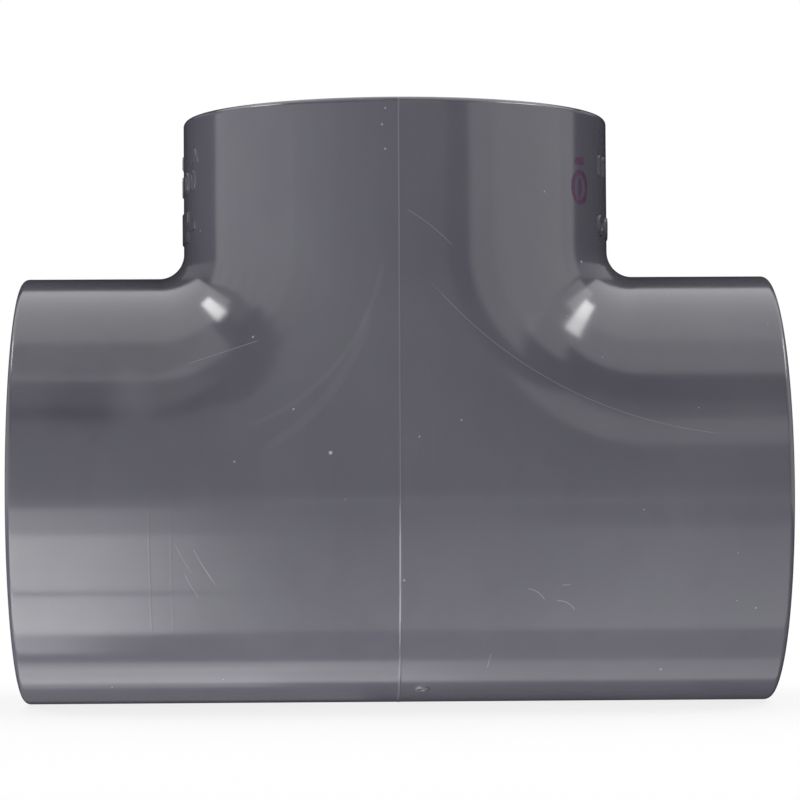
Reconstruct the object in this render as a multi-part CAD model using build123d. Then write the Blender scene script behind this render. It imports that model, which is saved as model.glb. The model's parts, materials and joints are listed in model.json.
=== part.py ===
from build123d import *
import os

# Rigid PVC tee for solvent-cemented pipe, nominal 3 inch, Schedule 80 pattern.
# The run lies along X and the branch points up +Z. The tee rests on the plane z = 0, with the branch over the
# origin. All sizes are in millimetres.

# Outside
HUB_RADIUS = 54.4
RUN_LENGTH = 190.5
BRANCH_REACH = 94.75  # from the run's axis to the branch rim
CROTCH_RADIUS = 6.2  # inside bend between branch and run, seen from the front
RIM_EDGE_RADIUS = 1.5

# Inside: a socket for 88.9 mm pipe at each end, a stop for the pipe, and the waterway between the stops.
# A real socket narrows by 0.6 mm in diameter from its mouth to its stop; the mean of the two is modelled.
SOCKET_MOUTH_DIAMETER = 89.31
SOCKET_BOTTOM_DIAMETER = 88.70
SOCKET_DEPTH = 47.63
MOUTH_CHAMFER = 1.5
WATERWAY_RADIUS = 36.83
WATERWAY_CROTCH_RADIUS = 3.0
STOP_EDGE_RADIUS = 0.8

# Mould parting line: a fine ridge in the plane x = 0, up the front and back and round the belly.
PARTING_WIDTH = 0.35
PARTING_HEIGHT = 0.1

# Gate mark: a shallow disc low on the front, just beside the parting line.
GATE_RADIUS = 1.9
GATE_HEIGHT = 0.3
GATE_X = 5.6
GATE_ANGLE = 67.0  # degrees below the front of the run

# Raised moulded marks on the two sides of the branch: plain shapes, no lettering.
MARK_HEIGHT = 0.35
MARK_ROOT = 1.5  # how far the marks are buried in the wall

# Ink mark on the front of the branch
INK_THICKNESS = 0.08
INK_AZIMUTH = 56.8  # degrees from the front towards +X
INK_RING_WIDTH = 8.2
INK_RING_HEIGHT = 8.8
INK_LINE = 1.3
INK_DASH_LENGTH = 5.2
INK_DASH_HEIGHT = 2.2
INK_GAP = 2.4

# Worked out from the above
HALF_RUN = RUN_LENGTH / 2
SOCKET_RADIUS = (SOCKET_MOUTH_DIAMETER + SOCKET_BOTTOM_DIAMETER) / 4
AXIS_HEIGHT = HUB_RADIUS + PARTING_HEIGHT  # run axis above the resting plane
RIM_HEIGHT = AXIS_HEIGHT + BRANCH_REACH
BEND_RADIUS = HUB_RADIUS + CROTCH_RADIUS

# Heights of the mark rows and of the ink, above the run's axis
ARROW_ROW = 84.2
DOT_ROW = 78.0
BAR_ROW = 66.8
INK_RING_AT = 74.9
INK_DASH_AT = 81.5


def hub(radius, length, edge_radius):
    """Round bar standing on z = 0, with its top edge rounded."""
    bar = Cylinder(radius, length, align=(Align.CENTER, Align.CENTER, Align.MIN))
    if edge_radius > 0:
        bar = fillet(bar.edges().sort_by(Axis.Z)[-1], edge_radius)
    return bar


def tee_form(radius, crotch, half_run, branch_top, edge_radius=0):
    """Solid tee about the crossing of its axes: the upper half of the run turns up into the branch as two elbows
    that share the branch, and a flat three-cornered web fills the space between them, front and back."""
    bend = radius + crotch
    right_hub = Pos(bend, 0, 0) * Rot(0, 90, 0) * hub(radius, half_run - bend, edge_radius)
    branch_hub = Pos(0, 0, bend) * hub(radius, branch_top - bend, edge_radius)

    disc = Circle(radius)
    lower_half = disc & (Pos(0, -radius / 2) * Rectangle(2 * radius, radius))
    belly = extrude(Plane.YZ * lower_half, amount=bend, both=True)

    right_half = disc & (Pos(radius / 2, 0) * Rectangle(radius, 2 * radius))
    pivot = Axis((bend, 0, bend), (0, -1, 0))
    right_elbow = revolve(Plane.XY.offset(bend) * right_half, axis=pivot, revolution_arc=90)

    base = Line((-bend, 0), (bend, 0))
    right_side = CenterArc((bend, bend), bend, 180, 90)
    left_side = CenterArc((-bend, bend), bend, 270, 90)
    web = extrude(Plane.XZ * make_face([base, right_side, left_side]), amount=radius, both=True)

    left_hub = mirror(right_hub, about=Plane.YZ)
    left_elbow = mirror(right_elbow, about=Plane.YZ)
    return belly.fuse(web, right_elbow, left_elbow, right_hub, left_hub, branch_hub)


def socket_bore():
    """What is cut out of one end, standing on z = 0 with its mouth up at SOCKET_DEPTH."""
    mouth = SOCKET_RADIUS + MOUTH_CHAMFER
    stop = WATERWAY_RADIUS + STOP_EDGE_RADIUS
    wall = Polyline(
        (0, -STOP_EDGE_RADIUS),
        (WATERWAY_RADIUS, -STOP_EDGE_RADIUS),
        (stop, 0),
        (SOCKET_RADIUS, 0),
        (SOCKET_RADIUS, SOCKET_DEPTH - MOUTH_CHAMFER),
        (mouth, SOCKET_DEPTH),
        (0, SOCKET_DEPTH),
        close=True,
    )
    return revolve(Plane.XZ * make_face(wall), axis=Axis.Z)


def inside():
    """Waterway and the three socket bores."""
    run_stop = HALF_RUN - SOCKET_DEPTH
    branch_stop = BRANCH_REACH - SOCKET_DEPTH
    waterway = tee_form(WATERWAY_RADIUS, WATERWAY_CROTCH_RADIUS, run_stop, branch_stop)
    bore = socket_bore()
    branch_bore = Pos(0, 0, branch_stop) * bore
    right_bore = Pos(run_stop, 0, 0) * Rot(0, 90, 0) * bore
    left_bore = Pos(-run_stop, 0, 0) * Rot(0, -90, 0) * bore
    return waterway.fuse(branch_bore, right_bore, left_bore)


def parting_line():
    """Thin plate in the plane x = 0 that stands PARTING_HEIGHT proud of the front, back and belly."""
    reach = HUB_RADIUS + PARTING_HEIGHT
    top = BRANCH_REACH - RIM_EDGE_RADIUS
    outline = Circle(reach) + Rectangle(2 * reach, top, align=(Align.CENTER, Align.MIN))
    return extrude(Plane.YZ * outline, amount=PARTING_WIDTH / 2, both=True)


def gate_mark():
    """Shallow disc left where the plastic entered the mould."""
    stem = Cylinder(GATE_RADIUS, HUB_RADIUS + GATE_HEIGHT, align=(Align.CENTER, Align.CENTER, Align.MIN))
    return Pos(GATE_X, 0, 0) * Rot(90 + GATE_ANGLE, 0, 0) * stem


def on_branch_side(shapes, side):
    """Stand flat shapes proud of the branch, on its side towards side * X. Shapes are drawn looking at that
    side, with their vertical axis as the height above the run's axis."""
    face = Plane(origin=(side * (HUB_RADIUS - 12), 0, 0), x_dir=(0, side, 0), z_dir=(side, 0, 0))
    prisms = extrude(face * shapes, amount=12 + 2 * MARK_HEIGHT)
    height = BRANCH_REACH - BEND_RADIUS
    skin = Cylinder(HUB_RADIUS + MARK_HEIGHT, height) - Cylinder(HUB_RADIUS - MARK_ROOT, height)
    return prisms & (Pos(0, 0, BEND_RADIUS + height / 2) * skin)


def left_marks():
    """Two arrowheads, a row of rings and a stepped bar."""
    arrow = make_face(Polyline((-2.2, -1.8), (0, 1.8), (2.2, -1.8), (0, -0.4), close=True))
    ring = Ellipse(1.9, 2.7) - Ellipse(0.9, 1.7)
    steps = Rectangle(40, 2.2) + Rectangle(28, 7.6)
    shapes = Sketch() + [Pos(x, ARROW_ROW) * arrow for x in (-20, 0, 20)]
    shapes += [Pos(x, DOT_ROW) * ring for x in (-18.5, -12.5, 0, 12.5, 18.5)]
    shapes += Pos(0, BAR_ROW) * steps
    return on_branch_side(shapes, -1)


def right_marks():
    """A row of plain bars over a row of plain dots."""
    bar = SlotOverall(5.4, 1.6, rotation=90)
    dot = Circle(2.6) - Circle(1.3)
    shapes = Sketch() + [Pos(x, ARROW_ROW - 2.8) * bar for x in (-18, -13.5, 13.5, 18)]
    shapes += [Pos(x, BAR_ROW - 0.3) * dot for x in (-17, -8.5, 0, 8.5, 17)]
    return on_branch_side(shapes, 1)


def tee_body():
    solid = tee_form(HUB_RADIUS, CROTCH_RADIUS, HALF_RUN, BRANCH_REACH, RIM_EDGE_RADIUS)
    for feature in (parting_line(), gate_mark(), left_marks(), right_marks()):
        solid = solid.fuse(feature)
    return Pos(0, 0, AXIS_HEIGHT) * (solid - inside())


def inspection_ink_mark():
    """Film of ink on the branch: an upright oval ring with a stroke in it, and a dash above."""
    ring = Ellipse(INK_RING_WIDTH / 2, INK_RING_HEIGHT / 2)
    ring -= Ellipse(INK_RING_WIDTH / 2 - INK_LINE, INK_RING_HEIGHT / 2 - INK_LINE)
    stroke = SlotOverall(INK_RING_HEIGHT - INK_GAP - INK_LINE, INK_LINE, rotation=90)
    dash = SlotOverall(INK_DASH_LENGTH, INK_DASH_HEIGHT)
    shapes = Sketch() + [Pos(0, INK_RING_AT) * ring, Pos(0, INK_RING_AT) * stroke, Pos(0, INK_DASH_AT) * dash]
    face = Plane(origin=(0, -HUB_RADIUS + 2, 0), x_dir=(1, 0, 0), z_dir=(0, -1, 0))
    prisms = extrude(face * shapes, amount=4)
    height = 2 * BRANCH_REACH
    film = prisms & (Cylinder(HUB_RADIUS + INK_THICKNESS, height) - Cylinder(HUB_RADIUS, height))
    return Pos(0, 0, AXIS_HEIGHT) * Rot(0, 0, INK_AZIMUTH) * film


os.makedirs("parts", exist_ok=True)
export_step(tee_body(), "parts/tee_body.step")
export_step(inspection_ink_mark(), "parts/inspection_ink_mark.step")
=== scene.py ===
import json
import math

import bmesh
import bpy
from mathutils import Matrix, Vector


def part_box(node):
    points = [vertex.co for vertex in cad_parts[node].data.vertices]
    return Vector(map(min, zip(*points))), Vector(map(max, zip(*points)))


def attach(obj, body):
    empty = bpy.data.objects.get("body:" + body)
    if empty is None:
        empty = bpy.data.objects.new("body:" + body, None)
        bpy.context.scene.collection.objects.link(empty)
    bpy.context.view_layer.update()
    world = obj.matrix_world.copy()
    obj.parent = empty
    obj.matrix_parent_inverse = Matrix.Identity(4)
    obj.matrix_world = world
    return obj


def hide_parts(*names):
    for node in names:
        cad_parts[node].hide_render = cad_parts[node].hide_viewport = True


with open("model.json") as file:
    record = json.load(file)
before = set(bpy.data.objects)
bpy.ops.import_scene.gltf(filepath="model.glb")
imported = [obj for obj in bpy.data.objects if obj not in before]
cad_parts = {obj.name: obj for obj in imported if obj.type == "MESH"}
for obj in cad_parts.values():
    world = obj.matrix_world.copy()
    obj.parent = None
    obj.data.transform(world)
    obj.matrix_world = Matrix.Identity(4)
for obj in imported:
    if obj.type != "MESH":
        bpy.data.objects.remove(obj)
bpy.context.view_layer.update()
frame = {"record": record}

# A moulded PVC tee: run along X, branch up +Z, resting on z = 0. Sizes are in metres.
MM = 0.001

# ---------------------------------------------------------------- sizes, from the frame
mounts = {mount["name"]: mount for mount in frame["record"]["mounts"]}
branch_mount = mounts["branch_socket"]
low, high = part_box("tee_body")

RIDGE_HEIGHT = 0.1 * MM  # parting line
RIDGE_SPREAD = 0.15 * MM
HUB = (high.y - low.y) / 2 - RIDGE_HEIGHT
HALF_RUN = (high.x - low.x) / 2
AXIS_Z = HUB + RIDGE_HEIGHT
CROSSING = Vector((0, 0, AXIS_Z))
BRANCH_TOP = high.z - AXIS_Z
CROTCH = 6.2 * MM
RIM_EDGE = 1.5 * MM
SOCKET = branch_mount["dims"]["r_mm"] * MM
SOCKET_TAPER = 0.15 * MM  # added to the mean radius at the mouth and taken off it at the stop
MOUTH_CHAMFER = 1.5 * MM
SOCKET_DEPTH = branch_mount["dims"]["length_mm"] * MM + MOUTH_CHAMFER
WATERWAY = 36.83 * MM
WATERWAY_CROTCH = 3.0 * MM

HALF_TURN_STEPS = 96
BEND_STEPS = 48
LENGTH_STEP = 3.0 * MM


# ---------------------------------------------------------------- mesh building
class Skin:
    """Grids of quads. Grids that share an edge are welded when the mesh is made."""

    def __init__(self):
        self.points = []
        self.quads = []

    def grid(self, rows, columns, place):
        first = len(self.points)
        wide = len(columns)
        self.points += [place(row, column) for row in rows for column in columns]
        for r in range(len(rows) - 1):
            for c in range(wide - 1):
                corner = first + r * wide + c
                self.quads.append((corner, corner + 1, corner + wide + 1, corner + wide))

    def bmesh(self):
        made = bmesh.new()
        corners = [made.verts.new(point) for point in self.points]
        for quad in self.quads:
            made.faces.new([corners[i] for i in quad])
        bmesh.ops.remove_doubles(made, verts=made.verts, dist=0.0005 * MM)
        bmesh.ops.dissolve_degenerate(made, dist=0.0001 * MM, edges=made.edges)
        bmesh.ops.recalc_face_normals(made, faces=made.faces)
        return made


def steps(start, end, count):
    return [start + (end - start) * i / count for i in range(count + 1)]


def spaced(start, end, step=LENGTH_STEP):
    return steps(start, end, max(1, round(abs(end - start) / step)))


def ridge(x):
    """How proud the surface stands at x because of the parting line in the plane x = 0."""
    return RIDGE_HEIGHT * math.exp(-((x / RIDGE_SPREAD) ** 2)) if abs(x) < 3 * RIDGE_SPREAD else 0.0


# Angles over half a turn, from -90 to 90 degrees, with extra ones near both ends for the parting line
ridge_angles = [math.asin(x * MM / HUB) for x in (0.05, 0.1, 0.16, 0.24, 0.36, 0.6)]
HALF_TURN = sorted(
    steps(-math.pi / 2, math.pi / 2, HALF_TURN_STEPS)
    + [math.pi / 2 - a for a in ridge_angles]
    + [a - math.pi / 2 for a in ridge_angles]
)
LOWER_HALF = steps(0, math.pi, HALF_TURN_STEPS)
QUARTER_BEND = steps(0, math.pi / 2, BEND_STEPS)

# Unit circles as (across, along) pairs. The run's are (y, z); the branch's are (x, y).
RUN_UPPER = [(math.sin(a), math.cos(a)) for a in HALF_TURN]
RUN_LOWER = [(-math.cos(b), -math.sin(b)) for b in LOWER_HALF]
RUN_RING = RUN_UPPER + RUN_LOWER[::-1]
BRANCH_RIGHT = [(math.cos(a), math.sin(a)) for a in HALF_TURN]
BRANCH_RING = BRANCH_RIGHT + [(-x, y) for x, y in BRANCH_RIGHT[::-1]]


def tee_skin(skin, radius, crotch, run_end, branch_end, proud):
    """Tee surface about the crossing of its axes: belly, two elbows that share the branch, flat webs
    between them at the front and back, and plain tubes out to the ends. proud(x) lifts it outwards."""
    bend = radius + crotch

    def on_elbow(side):
        def place(turn, angle):
            inward = Vector((-side * math.cos(turn), 0, -math.sin(turn)))
            tube = Vector((side * bend, 0, bend)) + inward * bend
            normal = Vector((0, math.sin(angle), 0)) - inward * math.cos(angle)
            point = tube + normal * radius
            return point + normal * proud(point.x)

        return place

    def on_web(face):
        def place(column, share):
            side, turn = column
            x = side * bend * (1 - math.cos(turn))
            return Vector((x, face * (radius + proud(x)), share * bend * (1 - math.sin(turn))))

        return place

    def on_run(x, ring):
        reach = radius + proud(x)
        return Vector((x, ring[0] * reach, ring[1] * reach))

    def on_branch(z, ring):
        reach = radius + proud(ring[0] * radius)
        return Vector((ring[0] * reach, ring[1] * reach, z))

    columns = [(-1, turn) for turn in QUARTER_BEND[:0:-1]] + [(1, turn) for turn in QUARTER_BEND]
    stations = [side * bend * (1 - math.cos(turn)) for side, turn in columns]
    for side in (-1, 1):
        skin.grid(QUARTER_BEND, HALF_TURN, on_elbow(side))
        skin.grid(spaced(side * bend, side * run_end), RUN_RING, on_run)
        skin.grid(columns, steps(0, 1, 24), on_web(side))
    skin.grid(stations, RUN_LOWER, on_run)
    skin.grid(spaced(bend, branch_end), BRANCH_RING, on_branch)


def rounded(outline, per_corner=6):
    """Profile points from (depth, radius, corner radius) corners, with each corner an arc."""
    points = [Vector(outline[0][:2])]
    for before, corner, after in zip(outline, outline[1:], outline[2:]):
        at = Vector(corner[:2])
        back = (Vector(before[:2]) - at).normalized()
        ahead = (Vector(after[:2]) - at).normalized()
        half = back.angle(ahead) / 2
        centre = at + (back + ahead).normalized() * (corner[2] / math.sin(half))
        start = at + back * (corner[2] / math.tan(half)) - centre
        end = at + ahead * (corner[2] / math.tan(half)) - centre
        sweep = start.angle_signed(end)
        for share in steps(0, 1, per_corner):
            points.append(centre + Matrix.Rotation(-sweep * share, 2) @ start)
    points.append(Vector(outline[-1][:2]))
    return points


LEAD = 3 * MM  # how far the end profiles reach along the outside and into the waterway
END_PROFILE = rounded(
    [
        (LEAD, HUB, 0),
        (0, HUB, RIM_EDGE),
        (0, SOCKET + SOCKET_TAPER + MOUTH_CHAMFER, 0.5 * MM),
        (MOUTH_CHAMFER, SOCKET + SOCKET_TAPER, 0.8 * MM),
        (SOCKET_DEPTH, SOCKET - SOCKET_TAPER, 0.8 * MM),
        (SOCKET_DEPTH, WATERWAY, 0.8 * MM),
        (SOCKET_DEPTH + LEAD, WATERWAY, 0),
    ]
)


def end_skin(skin, ring, reach, point):
    """Rim, socket and pipe stop of one end. point(along, across) gives the place in the tee's frame."""
    face_at = HUB - RIM_EDGE

    def place(profile, across):
        depth, radius = profile
        fade = max(0.0, (radius - face_at) / RIM_EDGE)
        flat = point(reach - depth, (across[0] * radius, across[1] * radius))
        lift = ridge(flat.x) * fade
        return point(reach - depth, (across[0] * (radius + lift), across[1] * (radius + lift)))

    skin.grid([tuple(p) for p in END_PROFILE], ring, place)


def moulding_mesh():
    skin = Skin()
    tee_skin(skin, HUB, CROTCH, HALF_RUN - LEAD, BRANCH_TOP - LEAD, ridge)
    waterway_run = HALF_RUN - SOCKET_DEPTH - LEAD
    waterway_branch = BRANCH_TOP - SOCKET_DEPTH - LEAD
    tee_skin(skin, WATERWAY, WATERWAY_CROTCH, waterway_run, waterway_branch, lambda x: 0.0)
    for side in (-1, 1):
        end_skin(skin, RUN_RING, HALF_RUN, lambda x, across, side=side: Vector((side * x, *across)))
    end_skin(skin, BRANCH_RING, BRANCH_TOP, lambda z, across: Vector((*across, z)))
    return skin.bmesh()


# ---------------------------------------------------------------- raised marks
MARK_HEIGHT = 0.35 * MM
MARK_EDGE = 0.12 * MM
MARK_ROOT = 1.0 * MM  # how deep the marks are buried in the wall
MARK_SLICE = 1.2 * MM  # width of the slices that let a mark follow the round wall
GATE_X = 5.6 * MM
GATE_ANGLE = math.radians(67)  # below the front of the run
GATE_HEIGHT = 0.3 * MM
GATE_SIDES = 40
# (radius, rise) in millimetres, from the middle of the mark to its root in the wall
GATE_PROFILE = [
    (0, -0.12),
    (0.45, -0.1),
    (0.6, 0),
    (1, 0.02),
    (1.6, 0),
    (1.82, -0.07),
    (1.9, -0.2),
    (1.9, -1.6),
]


def flat_shapes(outlines, above, below, edge, slice_width=MARK_SLICE):
    """Solid of flat outlines, each a list of (x, y) points, with rounded edges, cut into slices along x.
    It reaches from z = -below to z = above, and an outline inside another is a hole."""
    curve = bpy.data.curves.new("outline", "CURVE")
    curve.dimensions = "2D"
    curve.fill_mode = "BOTH"
    curve.extrude = (above + below) / 2 - edge
    curve.bevel_depth = edge
    curve.bevel_resolution = 2
    curve.offset = -edge
    for outline in outlines:
        spline = curve.splines.new("POLY")
        spline.points.add(len(outline) - 1)
        for point, (x, y) in zip(spline.points, outline):
            point.co = (x, y, 0, 1)
        spline.use_cyclic_u = True
    holder = bpy.data.objects.new("outline", curve)
    solid = bpy.data.meshes.new_from_object(holder)
    bpy.data.objects.remove(holder)
    made = bmesh.new()
    made.from_mesh(solid)
    bpy.data.meshes.remove(solid)
    bmesh.ops.remove_doubles(made, verts=made.verts, dist=0.001 * MM)
    bmesh.ops.translate(made, verts=made.verts, vec=(0, 0, (above - below) / 2))
    left = min(vert.co.x for vert in made.verts)
    right = max(vert.co.x for vert in made.verts)
    for x in spaced(left, right, slice_width)[1:-1]:
        everything = made.verts[:] + made.edges[:] + made.faces[:]
        cut = {"plane_co": (x, 0, 0), "plane_no": (1, 0, 0), "dist": 0.001 * MM}
        bmesh.ops.bisect_plane(made, geom=everything, **cut)
    return made


def wrapped(made, facing):
    """Wrap flat shapes on to the branch: x runs across it, y is the height above the run's axis and z
    stands out of the wall. facing is where x = 0 faces, in degrees from the front towards +X."""
    turn = Matrix.Rotation(math.radians(facing), 3, "Z")
    for vert in made.verts:
        across, height, out = vert.co
        wall = math.sqrt(HUB**2 - across**2)
        reach = 1 + out / HUB
        vert.co = turn @ Vector((across * reach, -wall * reach, height))
    return made


def moved(outline, x, y):
    return [(x * MM + px * MM, y * MM + py * MM) for px, py in outline]


def oval(half_width, half_height, count=28):
    turns = [2 * math.pi * i / count for i in range(count)]
    return [(half_width * math.cos(turn), half_height * math.sin(turn)) for turn in turns]


def bar(width, height, count=8):
    """Upright bar with round ends."""
    radius = width / 2
    rise = height / 2 - radius
    top = [(radius * math.cos(a), rise + radius * math.sin(a)) for a in steps(0, math.pi, count)]
    return top + [(-x, -y) for x, y in top]


# Outlines in millimetres, and the heights of the rows above the run's axis
ARROW = [(-2.2, -1.8), (0, -0.4), (2.2, -1.8), (0, 1.8)]
HALF_STEPPED_BAR = [(-20, -1.1), (-14, -1.1), (-14, -3.8), (14, -3.8), (14, -1.1), (20, -1.1)]
STEPPED_BAR = HALF_STEPPED_BAR + [(-x, -y) for x, y in HALF_STEPPED_BAR]
ARROW_ROW, UPRIGHT_ROW, RING_ROW, BAR_ROW, DOT_ROW = 84.2, 81.4, 78.0, 66.8, 66.5


def left_marks():
    """Two arrowheads beside a middle one, a row of rings and a stepped bar."""
    outlines = [moved(ARROW, x, ARROW_ROW) for x in (-20, 0, 20)]
    for x in (-18.5, -12.5, 0, 12.5, 18.5):
        outlines += [moved(oval(1.9, 2.7), x, RING_ROW), moved(oval(0.9, 1.7), x, RING_ROW)]
    outlines.append(moved(STEPPED_BAR, 0, BAR_ROW))
    return wrapped(flat_shapes(outlines, MARK_HEIGHT, MARK_ROOT, MARK_EDGE), -90)


def right_marks():
    """A row of plain uprights over a row of round rings."""
    outlines = [moved(bar(1.6, 5.4), x, UPRIGHT_ROW) for x in (-18, -13.5, 13.5, 18)]
    for x in (-17, -8.5, 0, 8.5, 17):
        outlines += [moved(oval(2.6, 2.6), x, DOT_ROW), moved(oval(1.3, 1.3), x, DOT_ROW)]
    return wrapped(flat_shapes(outlines, MARK_HEIGHT, MARK_ROOT, MARK_EDGE), 90)


def gate_mark():
    """Shallow button with a pit in it, low on the front, where the plastic entered the mould."""
    made = bmesh.new()
    place = Matrix.Rotation(math.pi / 2 + GATE_ANGLE, 4, "X")
    shift = Vector((GATE_X, 0, 0))

    def vert(radius, rise, turn):
        out = radius * MM
        spot = Vector((out * math.cos(turn), out * math.sin(turn), HUB + GATE_HEIGHT + rise * MM))
        return made.verts.new(place @ spot + shift)

    turns = [2 * math.pi * i / GATE_SIDES for i in range(GATE_SIDES)]
    rings = [[vert(radius, rise, turn) for turn in turns] for radius, rise in GATE_PROFILE[1:]]
    top = vert(*GATE_PROFILE[0], 0)
    for i in range(GATE_SIDES):
        j = (i + 1) % GATE_SIDES
        made.faces.new((top, rings[0][i], rings[0][j]))
        for inner, outer in zip(rings, rings[1:]):
            made.faces.new((inner[i], outer[i], outer[j], inner[j]))
    made.faces.new(rings[-1][::-1])
    bmesh.ops.recalc_face_normals(made, faces=made.faces)
    return made


def as_object(name, made):
    mesh = bpy.data.meshes.new(name)
    for face in made.faces:
        face.smooth = True
    bmesh.ops.translate(made, verts=made.verts, vec=CROSSING)
    made.to_mesh(mesh)
    made.free()
    obj = bpy.data.objects.new(name, mesh)
    bpy.context.scene.collection.objects.link(obj)
    return obj


def joined_on(body, part):
    """Union of the two meshes, kept in body. The part is used up."""
    union = body.modifiers.new("union", "BOOLEAN")
    union.operation = "UNION"
    union.solver = "EXACT"
    union.object = part
    depsgraph = bpy.context.evaluated_depsgraph_get()
    result = bpy.data.meshes.new_from_object(body.evaluated_get(depsgraph))
    body.modifiers.remove(union)
    old = body.data
    body.data = result
    bpy.data.meshes.remove(old)
    used = part.data
    bpy.data.objects.remove(part)
    bpy.data.meshes.remove(used)


def cleaned(mesh):
    """Remove the slivers that the unions leave."""
    made = bmesh.new()
    made.from_mesh(mesh)
    bmesh.ops.dissolve_degenerate(made, dist=0.002 * MM, edges=made.edges)
    made.to_mesh(mesh)
    made.free()


# ---------------------------------------------------------------- materials
class Shade:
    """Short forms for building a material from nodes. Places are in the tee's frame, in metres."""

    def __init__(self, name):
        self.material = bpy.data.materials.new(name)
        self.material.use_nodes = True
        self.tree = self.material.node_tree
        self.shader = self.tree.nodes["Principled BSDF"]
        self.place = self.tree.nodes.new("ShaderNodeTexCoord").outputs["Object"]
        apart = self.tree.nodes.new("ShaderNodeSeparateXYZ")
        self.tree.links.new(self.place, apart.inputs[0])
        self.x, self.y, self.z = apart.outputs

    def put(self, socket, value):
        if isinstance(value, bpy.types.NodeSocket):
            self.tree.links.new(value, socket)
        else:
            socket.default_value = value

    def maths(self, operation, *values):
        node = self.tree.nodes.new("ShaderNodeMath")
        node.operation = operation
        for socket, value in zip(node.inputs, values):
            self.put(socket, value)
        return node.outputs[0]

    def length(self, across, along):
        squares = [self.maths("MULTIPLY", value, value) for value in (across, along)]
        return self.maths("SQRT", self.maths("ADD", *squares))

    def away_from(self, x, z):
        """Distance from a point, seen from the front."""
        return self.length(self.maths("SUBTRACT", self.x, x), self.maths("SUBTRACT", self.z, z))

    def fade(self, value, start, end, low=0.0, high=1.0):
        """Smooth step from low at start to high at end."""
        node = self.tree.nodes.new("ShaderNodeMapRange")
        node.interpolation_type = "SMOOTHSTEP"
        keys = ("Value", "From Min", "From Max", "To Min", "To Max")
        for key, number in zip(keys, (value, start, end, low, high)):
            self.put(node.inputs[key], number)
        return node.outputs["Result"]

    def stretched(self, x, y, z):
        node = self.tree.nodes.new("ShaderNodeMapping")
        self.put(node.inputs["Vector"], self.place)
        node.inputs["Scale"].default_value = (x, y, z)
        return node.outputs[0]

    def noise(self, size, detail=2.0, roughness=0.5, vector=None, distortion=0.0):
        """Cloudy noise with features about size metres across, from 0 to 1."""
        node = self.tree.nodes.new("ShaderNodeTexNoise")
        self.put(node.inputs["Vector"], vector or self.place)
        node.inputs["Scale"].default_value = 1 / size
        node.inputs["Detail"].default_value = detail
        node.inputs["Roughness"].default_value = roughness
        node.inputs["Distortion"].default_value = distortion
        return node.outputs["Fac"]

    def specks(self, spacing, size, share):
        """Small round specks: one in each cell of a scattered grid, kept in that share of the cells."""
        node = self.tree.nodes.new("ShaderNodeTexVoronoi")
        self.put(node.inputs["Vector"], self.place)
        node.inputs["Scale"].default_value = 1 / spacing
        apart = self.tree.nodes.new("ShaderNodeSeparateColor")
        self.put(apart.inputs[0], node.outputs["Color"])
        radius = self.maths("MULTIPLY", apart.outputs[1], size / spacing)
        near = self.fade(self.maths("DIVIDE", node.outputs["Distance"], radius), 0.7, 1.3, 1.0, 0.0)
        return self.maths("MULTIPLY", near, self.maths("LESS_THAN", apart.outputs[0], share))

    def arc(self, start, middle, end, width):
        """Thin curved line on the front, through three (x, z) points about the crossing, in mm."""
        points = [(x * MM, AXIS_Z + z * MM) for x, z in (start, middle, end)]
        (ax, az), (bx, bz), (cx, cz) = points
        sa, sb, sc = [x * x + z * z for x, z in points]
        twice = 2 * (ax * (bz - cz) + bx * (cz - az) + cx * (az - bz))
        centre_x = (sa * (bz - cz) + sb * (cz - az) + sc * (az - bz)) / twice
        centre_z = (sa * (cx - bx) + sb * (ax - cx) + sc * (bx - ax)) / twice
        radius = math.hypot(ax - centre_x, az - centre_z)
        off = self.maths("ABSOLUTE", self.maths("SUBTRACT", self.away_from(centre_x, centre_z), radius))
        line = self.fade(off, width * 0.35, width, 1.0, 0.0)
        reach = math.hypot(cx - ax, cz - az) / 2
        from_middle = self.away_from((ax + cx) / 2, (az + cz) / 2)
        within = self.fade(from_middle, reach * 0.8, reach, 1.0, 0.0)
        front = self.maths("LESS_THAN", self.y, 0.0)
        return self.maths("MULTIPLY", self.maths("MULTIPLY", line, within), front)

    def ragged_patch(self, x, z, half_width, half_height):
        """Soft ragged patch on the front, round an (x, z) point about the crossing, in millimetres."""
        across = self.maths("DIVIDE", self.maths("SUBTRACT", self.x, x * MM), half_width * MM)
        along = self.maths("DIVIDE", self.maths("SUBTRACT", self.z, AXIS_Z + z * MM), half_height * MM)
        rag = self.maths("MULTIPLY", self.noise(9 * MM, 4, 0.65), 1.4)
        ragged = self.maths("ADD", self.length(across, along), rag)
        front = self.maths("LESS_THAN", self.y, 0.0)
        return self.maths("MULTIPLY", self.fade(ragged, 0.9, 2.0, 1.0, 0.0), front)

    def ring_line(self, x, width):
        """Fine line round the run at x and -x, where two parts of the mould met."""
        off = self.maths("ABSOLUTE", self.maths("SUBTRACT", self.maths("ABSOLUTE", self.x), x))
        return self.fade(off, 0.2 * width, width, 1.0, 0.0)

    def total(self, values):
        result = values[0]
        for value in values[1:]:
            result = self.maths("ADD", result, value)
        return result

    def scaled(self, value, factor):
        return self.maths("MULTIPLY", value, factor)

    def mixed(self, factor, colour_a, colour_b):
        node = self.tree.nodes.new("ShaderNodeMix")
        node.data_type = "RGBA"
        self.put(node.inputs["Factor"], factor)
        self.put(node.inputs[6], colour_a)
        self.put(node.inputs[7], colour_b)
        return node.outputs[2]

    def bumped(self, height):
        """Relief of that height, in metres."""
        bump = self.tree.nodes.new("ShaderNodeBump")
        bump.inputs["Strength"].default_value = 1.0
        bump.inputs["Distance"].default_value = 1.0
        self.put(bump.inputs["Height"], height)
        self.put(self.shader.inputs["Normal"], bump.outputs[0])


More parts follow.
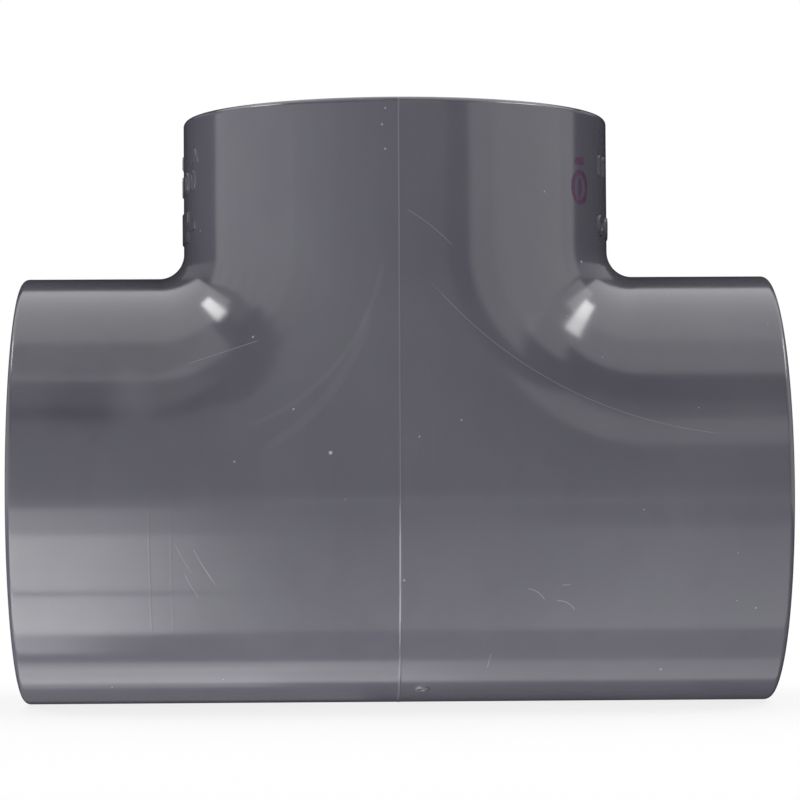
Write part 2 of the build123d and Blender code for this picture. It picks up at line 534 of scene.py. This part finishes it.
# Lines on the front: three (x, z) points about the crossing and a width, all in millimetres
SCRATCHES = [
    ((1.4, 67.6), (7.4, 63.6), (13.4, 58.1), 0.09),
    ((5.7, 52.1), (28.9, 30.8), (81.9, 12.4), 0.09),
    ((-52.2, 30.4), (-42.8, 33.4), (-33.2, 36.4), 0.12),
    ((-50.2, -14), (-47.8, -18.4), (-45.6, -22), 0.09),
    ((-48.6, -17), (-46.4, -20.6), (-44.6, -23.4), 0.07),
    ((-52.4, -20), (-50.6, -23.6), (-48.8, -26.4), 0.07),
    ((-54.6, -12.6), (-52.2, -17.4), (-50.2, -20.4), 0.06),
    ((30.5, -24.5), (33, -25.2), (35, -27.5), 0.12),
    ((37.5, -27.5), (40.5, -28), (42.5, -30), 0.14),
    ((39, -23.5), (40.2, -23.6), (41.2, -23.4), 0.12),
    ((22.4, -40.5), (21.9, -42.5), (21.6, -44.5), 0.1),
]
# Faint pale curved lines on the left of the front, given the same way as the scratches
PALE_ARCS = [
    ((-3.6, 57.9), (-13, 33), (-38.9, 14.4), 0.9),
    ((-7, 44), (-14.5, 26.5), (-34, 9), 1.6),
]
# Patches on the front: middle (x, z) about the crossing, half width and half height, in millimetres
DARK_PATCH = (-77.5, 21, 12, 8)
PALE_PATCH = (-64.5, 24, 6, 9)

PVC_DARK = (0.0885, 0.0853, 0.1075, 1)
PVC_LIGHT = (0.1055, 0.102, 0.1245, 1)
PVC_GREENER = (0.0945, 0.0965, 0.108, 1)
PVC_DARKER = (0.074, 0.072, 0.093, 1)
PVC_PALE = (0.122, 0.118, 0.141, 1)
PVC_WHITISH = (0.36, 0.355, 0.375, 1)
DUST = (0.36, 0.35, 0.33, 1)
PVC_IOR = 1.54
SEAM_HALF_WIDTH = (0.08 * MM, 0.2 * MM)  # full strength inside the first, none beyond the second
HUB_EDGE = HUB + CROTCH
HUB_BLEND = 0.3 * MM


def grey_pvc():
    """Moulded rigid PVC: dark, slightly violet grey, glossy, a little duller on the two hubs of the run,
    with flow clouds, a fine orange peel, dust specks and handling scratches."""
    shade = Shade("grey_pvc")
    from_seam = shade.maths("ABSOLUTE", shade.x)
    hub = shade.fade(from_seam, HUB_EDGE - HUB_BLEND, HUB_EDGE + HUB_BLEND)
    seam = shade.fade(from_seam, *SEAM_HALF_WIDTH, 1.0, 0.0)
    outer_ring = shade.ring_line(HUB_EDGE, 0.3 * MM)
    inner_ring = shade.ring_line(HUB + 1.0 * MM, 0.2 * MM)
    insert_rings = shade.total([outer_ring, inner_ring])
    clouds = shade.noise(45 * MM, 3, 0.55)
    flow = shade.noise(9 * MM, 3, 0.6, shade.stretched(1, 1, 0.35))
    grain = shade.noise(0.35 * MM, 2, 0.6)
    smudge = shade.fade(shade.noise(24 * MM, 4, 0.6, distortion=0.6), 0.5, 0.7)

    scratches = [shade.scaled(shade.arc(a, b, c, width * MM), 0.8) for a, b, c, width in SCRATCHES]
    wear = shade.maths("MINIMUM", shade.total(scratches), 1.0)
    pale_arcs = shade.total([shade.arc(a, b, c, width * MM) for a, b, c, width in PALE_ARCS])
    specks = shade.total([
        shade.scaled(shade.specks(9 * MM, 0.5 * MM, 0.22), 0.9),
        shade.scaled(shade.specks(4.5 * MM, 0.28 * MM, 0.3), 0.6),
    ])
    dust = shade.maths("MINIMUM", specks, 1.0)

    shares = ((clouds, 0.5), (flow, 0.3), (grain, 0.2))
    tone = shade.total([shade.scaled(value, share) for value, share in shares])
    colour = shade.mixed(shade.fade(tone, 0.3, 0.7), PVC_DARK, PVC_LIGHT)
    hue = shade.fade(shade.noise(14 * MM, 2), 0.35, 0.65)
    layers = (
        (hue, 0.3, PVC_GREENER),
        # A darker and a paler ragged patch of tone on the left hub
        (shade.ragged_patch(*DARK_PATCH), 0.8, PVC_DARKER),
        (shade.ragged_patch(*PALE_PATCH), 0.7, PVC_PALE),
        (pale_arcs, 0.035, PVC_WHITISH),
        (seam, 0.12, PVC_WHITISH),
        (wear, 0.4, PVC_WHITISH),
        (dust, 1.0, DUST),
    )
    for where, strength, layer_colour in layers:
        colour = shade.mixed(shade.scaled(where, strength), colour, layer_colour)
    shade.put(shade.shader.inputs["Base Color"], colour)

    gloss = shade.total([
        shade.fade(hub, 0.0, 1.0, 0.12, 0.13),
        shade.scaled(smudge, 0.02),
        shade.scaled(clouds, 0.02),
        shade.scaled(wear, 0.2),
        shade.scaled(dust, 0.3),
    ])
    shade.put(shade.shader.inputs["Roughness"], gloss)
    shade.shader.inputs["IOR"].default_value = PVC_IOR

    height = shade.total([
        shade.scaled(shade.noise(16 * MM, 1), 12e-6),
        shade.scaled(shade.noise(3 * MM, 1), 2.2e-6),
        shade.scaled(grain, 0.35e-6),
        shade.scaled(wear, -3e-6),
        shade.scaled(insert_rings, 3e-6),
        shade.scaled(specks, 12e-6),
    ])
    shade.bumped(height)
    return shade.material


INK_AZIMUTH = 56.8  # degrees from the front towards +X
INK_AT = 74.9  # height of the ring above the run's axis, in millimetres
INK_DASH_ABOVE = 6.6  # from the ring's middle up to the dash's, in millimetres
INK_THICKNESS = 0.03 * MM
INK_SUNK = 0.02 * MM
INK_EDGE = 0.005 * MM
INK_SLICE = 0.6 * MM
INK_RING = [oval(4.1, 4.4), oval(2.6, 3.0), bar(1.7, 4.8)]  # outside, hole and stroke
INK_DASH = [(-2.4, -0.8), (1.8, -1.1), (2.6, 0.2), (2.0, 1.1), (-1.2, 0.8), (-2.6, 0.3)]
INK_DARK = (0.045, 0.009, 0.043, 1)
INK_LIGHT = (0.082, 0.024, 0.08, 1)
INK_RUBBED = (0.082, 0.05, 0.09, 1)


def violet_ink():
    """Stamped ink, thick in places and rubbed thin to the grey below in others."""
    shade = Shade("violet_ink")
    patches = shade.noise(1.6 * MM, 3, 0.65)
    bare = shade.fade(shade.noise(0.9 * MM, 2, 0.6), 0.56, 0.68)
    colour = shade.mixed(patches, INK_DARK, INK_LIGHT)
    colour = shade.mixed(shade.scaled(bare, 0.7), colour, INK_RUBBED)
    shade.put(shade.shader.inputs["Base Color"], colour)
    shade.put(shade.shader.inputs["Roughness"], shade.fade(patches, 0.2, 0.8, 0.3, 0.5))
    shade.bumped(shade.scaled(patches, 6e-6))
    return shade.material


def ink_film():
    """Upright oval ring with a stroke in it and a dash above."""
    outlines = [moved(outline, 0, INK_AT) for outline in INK_RING]
    outlines.append(moved(INK_DASH, 0, INK_AT + INK_DASH_ABOVE))
    return wrapped(flat_shapes(outlines, INK_THICKNESS, INK_SUNK, INK_EDGE, INK_SLICE), INK_AZIMUTH)


# ---------------------------------------------------------------- the moulding
tee = as_object("tee_moulding", moulding_mesh())
for mark in (gate_mark(), left_marks(), right_marks()):
    joined_on(tee, as_object("mark", mark))
tee.data.name = "tee_moulding"
cleaned(tee.data)
weighted = tee.modifiers.new("smooth_faces", "WEIGHTED_NORMAL")
weighted.mode = "FACE_AREA"

pvc = grey_pvc()
tee.data.materials.append(pvc)

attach(tee, "root")
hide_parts("tee_body")


ink = as_object("stamped_ink", ink_film())
ink.data.materials.append(violet_ink())
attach(ink, "root")
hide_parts("inspection_ink_mark")


# ---------------------------------------------------------------- camera
CAMERA_FROM_CROSSING = Vector((-14.93, -828.9, -4.23)) * MM
CAMERA_YAW = math.radians(1.0995)
CAMERA_PITCH = math.radians(-1.885)
CAMERA_ROLL = math.radians(-0.3443)
CAMERA_LENS = 144.88  # millimetres
CAMERA_SENSOR = 36
camera_data = bpy.data.cameras.new("camera")
camera_data.lens = CAMERA_LENS
camera_data.sensor_width = CAMERA_SENSOR
rolled = Matrix.Rotation(CAMERA_ROLL, 3, "Y")
pitched = Matrix.Rotation(CAMERA_PITCH, 3, "X")
yawed = Matrix.Rotation(CAMERA_YAW, 3, "Z")
turned = (rolled @ pitched @ yawed).transposed()
right, forward, up = turned.col[0], turned.col[1], turned.col[2]
camera = bpy.data.objects.new("camera", camera_data)
aimed = Matrix((right, up, -forward)).transposed().to_4x4()
camera.matrix_world = Matrix.Translation(CAMERA_FROM_CROSSING + CROSSING) @ aimed
bpy.context.scene.collection.objects.link(camera)
bpy.context.scene.camera = camera
bpy.context.scene.view_settings.view_transform = "Standard"


# ---------------------------------------------------------------- light
STUDIO = 1.2  # distance of the lights from the tee


def panel(name, width, height, radiance, place, facing):
    """Rectangle of even light. Radiance 1 shows as full white in a perfect mirror."""
    data = bpy.data.lights.new(name, "AREA")
    data.shape = "RECTANGLE"
    data.size = width
    data.size_y = height
    data.energy = radiance * math.pi * width * height
    lamp = bpy.data.objects.new(name, data)
    lamp.location = CROSSING + place
    lamp.rotation_euler = facing.to_track_quat("Z", "Y").to_euler()
    lamp.visible_camera = False
    bpy.context.scene.collection.objects.link(lamp)
    return lamp


def softbox(name, azimuths, elevations, radiance):
    """Panel that stands facing the tee between two azimuths and two elevations, in degrees. Azimuth 0 is
    the camera's side and 90 is towards +X."""
    spans = (azimuths, elevations)
    a, e = [math.radians(sum(span) / 2) for span in spans]
    width, height = [2 * STUDIO * math.tan(math.radians(span[1] - span[0]) / 2) for span in spans]
    out = Vector((math.sin(a) * math.cos(e), -math.cos(a) * math.cos(e), math.sin(e)))
    return panel(name, width * math.cos(e), height, radiance, out * STUDIO, out)


def bank(name, turns, ends, radiance):
    """Panel that lies along the run between two turns about its axis, in degrees: 0 is the camera's side,
    90 overhead, -90 below and 180 behind. It reaches from ends[0] to ends[1] in x."""
    turn = math.radians(sum(turns) / 2)
    out = Vector((0, -math.cos(turn), math.sin(turn)))
    height = 2 * STUDIO * math.tan(math.radians(turns[1] - turns[0]) / 2)
    middle = Vector(((ends[0] + ends[1]) / 2, 0, 0))
    lamp = panel(name, ends[1] - ends[0], height, radiance, out * STUDIO + middle, out)
    lamp.rotation_euler = (math.pi / 2 - turn, 0, 0)
    return lamp


def ceiling(name, x, y, radiance):
    """Panel that hangs level, STUDIO above the run's axis, over a range in x and one in y."""
    middle = Vector((sum(x) / 2, sum(y) / 2, STUDIO))
    return panel(name, x[1] - x[0], y[1] - y[0], radiance, middle, Vector((0, 0, 1)))


# Overhead, the two narrow strips that show as the bright spots in the crotches, and the right side
ceiling("ceiling", (-1.5, 1.5), (-0.12, 1.25), 1.65)
ceiling("ceiling_front_left", (-0.9, -0.1), (-0.72, -0.12), 0.95)
ceiling("ceiling_front_right", (0.02, 1), (-0.64, -0.12), 1.25)
softbox("left_strip", (-107, -80), (44, 50.5), 9)
softbox("right_strip", (66, 104), (45, 51.5), 8.5)
softbox("right_wall", (38, 110), (-8, 34), 1.0)
softbox("right_wall_middle", (52, 98), (-8, 34), 0.25)
softbox("right_wall_top", (46, 112), (34, 48), 1.1)
softbox("left_wall_top", (-112, -66), (34, 44), 0.4)

# The left side: upright panels, dimmer towards the camera
WALL_BACK, WALL_PANEL = -112, 11.5
WALL_TOPS = [34, 34, 34, 34, 32, 30, 28, 28, 36, 44, 44, 44]
for i, top in enumerate(WALL_TOPS):
    start = WALL_BACK + i * WALL_PANEL
    dim = min(1.0, max(0.0, (start + WALL_PANEL / 2 + 60) / 60)) ** 0.7
    softbox(f"left_wall_{i}", (start, start + WALL_PANEL), (-8, top), 1.0 - 0.75 * dim)
softbox("front_top", (-36, -3), (44, 62), 0.45)
softbox("front_top_left", (-74, -36), (44, 60), 0.15)
softbox("left_crotch_glow", (-150, -113), (20, 32), 0.25)
softbox("right_crotch_glow", (113, 150), (20, 32), 0.4)
softbox("front_lamp", (4, 26), (22, 35.5), 0.72)

# Low in front, brighter further down
LOW_TOP, LOW_BOTTOM, LOW_PANELS = -4, -80, 8
LOW_DEPTH = (LOW_BOTTOM - LOW_TOP) / LOW_PANELS
for i in range(LOW_PANELS):
    edge = LOW_TOP + i * LOW_DEPTH
    bank(f"low_front_{i}", (edge + LOW_DEPTH, edge), (-0.7, 0.9), 0.37 + 0.48 * i / LOW_PANELS)

# Low on the left: a bright window that fades out towards the middle
LOW_LEFT_ENDS = [-1.2, -0.18, -0.15, -0.125, -0.1, -0.07]
LOW_LEFT_RADIANCES = [4.7, 3.9, 2.7, 1.3, 0.4]
for i, radiance in enumerate(LOW_LEFT_RADIANCES):
    ends = LOW_LEFT_ENDS[i:i + 2]
    bank(f"low_left_upper_{i}", (-54, -23), ends, radiance)
    bank(f"low_left_lower_{i}", (-81, -56), ends, radiance)
    bank(f"low_left_top_{i}", (-23, -9), ends, 0.5 * radiance)
bank("low_left_bottom", (-95, -81), (-1.2, -0.17), 2.5)
bank("low_right_end", (-80, -20), (0.12, 1.0), 0.4)

# Under the tee and low behind it
bank("beneath", (-103, -81), (-0.5, 0.5), 0.28)
LOW_BACK_ENDS = [-0.5, 0.03, 0.06, 0.5]
for i, radiance in enumerate([1.38, 1.15, 0.85]):
    bank(f"low_back_{i}", (-124.5, -103), LOW_BACK_ENDS[i:i + 2], radiance)
bank("far_below", (-156, -127), (-0.6, 0), 0.13)
bank("low_back_edge", (-112, -103), (-0.6, 0), 0.3)
bank("low_back_left", (-130, -108), (-0.6, -0.05), 0.6)

# Fill from behind, which no reflection shows
BACK_FILLS = [
    ("left_back", (-165, -115), 0.8),
    ("right_back", (115, 165), 0.6),
    ("behind", (165, 195), 1.0),
]
for name, azimuths, radiance in BACK_FILLS:
    softbox(name, azimuths, (-8, 24), radiance).visible_glossy = False

world = bpy.data.worlds.new("world")
world.use_nodes = True
world.node_tree.nodes["Background"].inputs["Color"].default_value = (0, 0, 0, 1)
bpy.context.scene.world = world


# ---------------------------------------------------------------- stage
def emission(name, strength):
    material = bpy.data.materials.new(name)
    material.use_nodes = True
    nodes = material.node_tree.nodes
    nodes.remove(nodes["Principled BSDF"])
    glow = nodes.new("ShaderNodeEmission")
    glow.inputs["Strength"].default_value = strength
    material.node_tree.links.new(glow.outputs[0], nodes["Material Output"].inputs["Surface"])
    return material


def camera_only(obj):
    obj.visible_diffuse = False
    obj.visible_glossy = False
    obj.visible_transmission = False
    obj.visible_shadow = False


dome_mesh = bmesh.new()
bmesh.ops.create_icosphere(dome_mesh, subdivisions=4, radius=6.0)
dome_data = bpy.data.meshes.new("backdrop")
dome_mesh.to_mesh(dome_data)
dome_mesh.free()
dome = bpy.data.objects.new("backdrop", dome_data)
bpy.context.scene.collection.objects.link(dome)
dome_data.materials.append(emission("backdrop_white", 1.0))
camera_only(dome)

FLOOR_RADIUS = 3.0
FLOOR_GLOW = 0.8  # share of the floor's light that a shadow doesn't dim


def floor_white():
    """Matt white that glows, more so away from the tee, so that only the soft shadow at the tee shows."""
    shade = Shade("floor_white")
    shade.shader.inputs["Roughness"].default_value = 1.0
    shade.shader.inputs["Base Color"].default_value = (0.9, 0.9, 0.9, 1)
    nodes, links = shade.tree.nodes, shade.tree.links
    glow = nodes.new("ShaderNodeEmission")
    blend = nodes.new("ShaderNodeMixShader")
    away = shade.length(shade.x, shade.y)
    shade.put(blend.inputs[0], shade.fade(away, 0.1, 0.5, FLOOR_GLOW, 1.0))
    links.new(shade.shader.outputs[0], blend.inputs[1])
    links.new(glow.outputs[0], blend.inputs[2])
    links.new(blend.outputs[0], nodes["Material Output"].inputs["Surface"])
    return shade.material


floor_shape = bmesh.new()
bmesh.ops.create_circle(floor_shape, cap_ends=True, segments=96, radius=FLOOR_RADIUS)
floor_data = bpy.data.meshes.new("floor")
floor_shape.to_mesh(floor_data)
floor_shape.free()
floor = bpy.data.objects.new("floor", floor_data)
bpy.context.scene.collection.objects.link(floor)
floor_data.materials.append(floor_white())
camera_only(floor)
